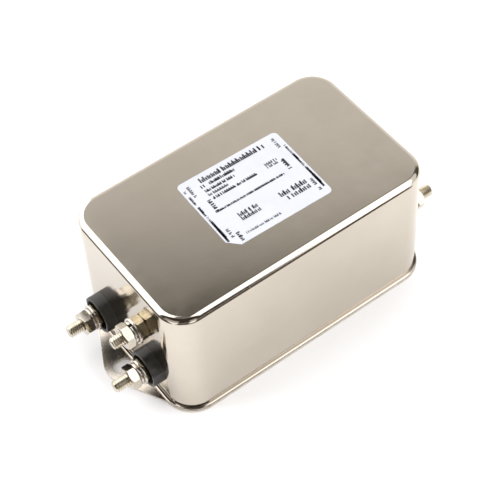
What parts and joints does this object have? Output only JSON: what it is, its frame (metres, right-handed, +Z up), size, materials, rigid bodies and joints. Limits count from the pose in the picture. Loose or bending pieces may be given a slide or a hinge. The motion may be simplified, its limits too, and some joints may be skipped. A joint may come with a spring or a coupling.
{
  "type": "emi line filter",
  "caption": "Passive mains line filter in a nickel-plated drawn can with slotted ears, insulated stud terminals at both ends and an earth stud.",
  "frame": {"origin": "centre of the can's footprint, on the underside of the base plate", "axes": "+X along the can towards the load end, +Y across it, +Z up out of the base plate"},
  "size_m": [0.1222, 0.0576, 0.0466],
  "materials": {
    "nickel_can": "bright nickel plate, satin gloss",
    "nickel_plate": "satin nickel plate",
    "label_film": "printed film, satin",
    "black_plastic": "moulded, fine satin",
    "fibre": "matt",
    "tinned_brass": "tinned, satin",
    "nickel_fastener": "bright plate with a yellowish tinge",
    "washer_steel": "bright plate",
    "nickel_stud": "bright plate with a yellowish tinge",
    "ferrite": "matt sintered",
    "enamelled_copper": "enamelled, glossy",
    "capacitor_case": "moulded",
    "disc_ceramic": "dipped lacquer",
    "resistor_body": "lacquered",
    "lead_brown": "sleeved",
    "lead_blue": "sleeved",
    "lead_green": "sleeved",
    "insulating_film": "matt",
    "potting_resin": "cast"
  },
  "bodies": {
    "root": {"can": "nickel_can", "base_plate": "nickel_plate", "label": "label_film", "insulator_line_p": "black_plastic", "insulator_line_n": "black_plastic", "insulator_load_p": "black_plastic", "insulator_load_n": "black_plastic", "inner_insulating_washers": "fibre", "solder_lugs": "tinned_brass", "earth_lug": "tinned_brass", "clamp_nuts": "nickel_fastener", "flat_washers": "washer_steel", "spring_washers": "washer_steel", "terminal_nuts": "nickel_fastener", "stud_line_p": "nickel_stud", "stud_line_n": "nickel_stud", "stud_load_p": "nickel_stud", "stud_load_n": "nickel_stud", "earth_stud": "nickel_stud", "earth_clamp_nut": "nickel_fastener", "earth_flat_washer": "washer_steel", "earth_spring_washer": "washer_steel", "earth_nut": "nickel_fastener", "choke_core": "ferrite", "choke_divider": "fibre", "winding_p": "enamelled_copper", "winding_n": "enamelled_copper", "box_capacitor_line": "capacitor_case", "box_capacitor_load": "capacitor_case", "disc_capacitor_p": "disc_ceramic", "disc_capacitor_n": "disc_ceramic", "bleed_resistor": "resistor_body", "lead_line_p": "lead_brown", "lead_line_n": "lead_blue", "lead_load_p": "lead_brown", "lead_load_n": "lead_blue", "earth_lead": "lead_green", "base_sheet": "insulating_film", "potting": "potting_resin"}
  },
  "joints": []
}
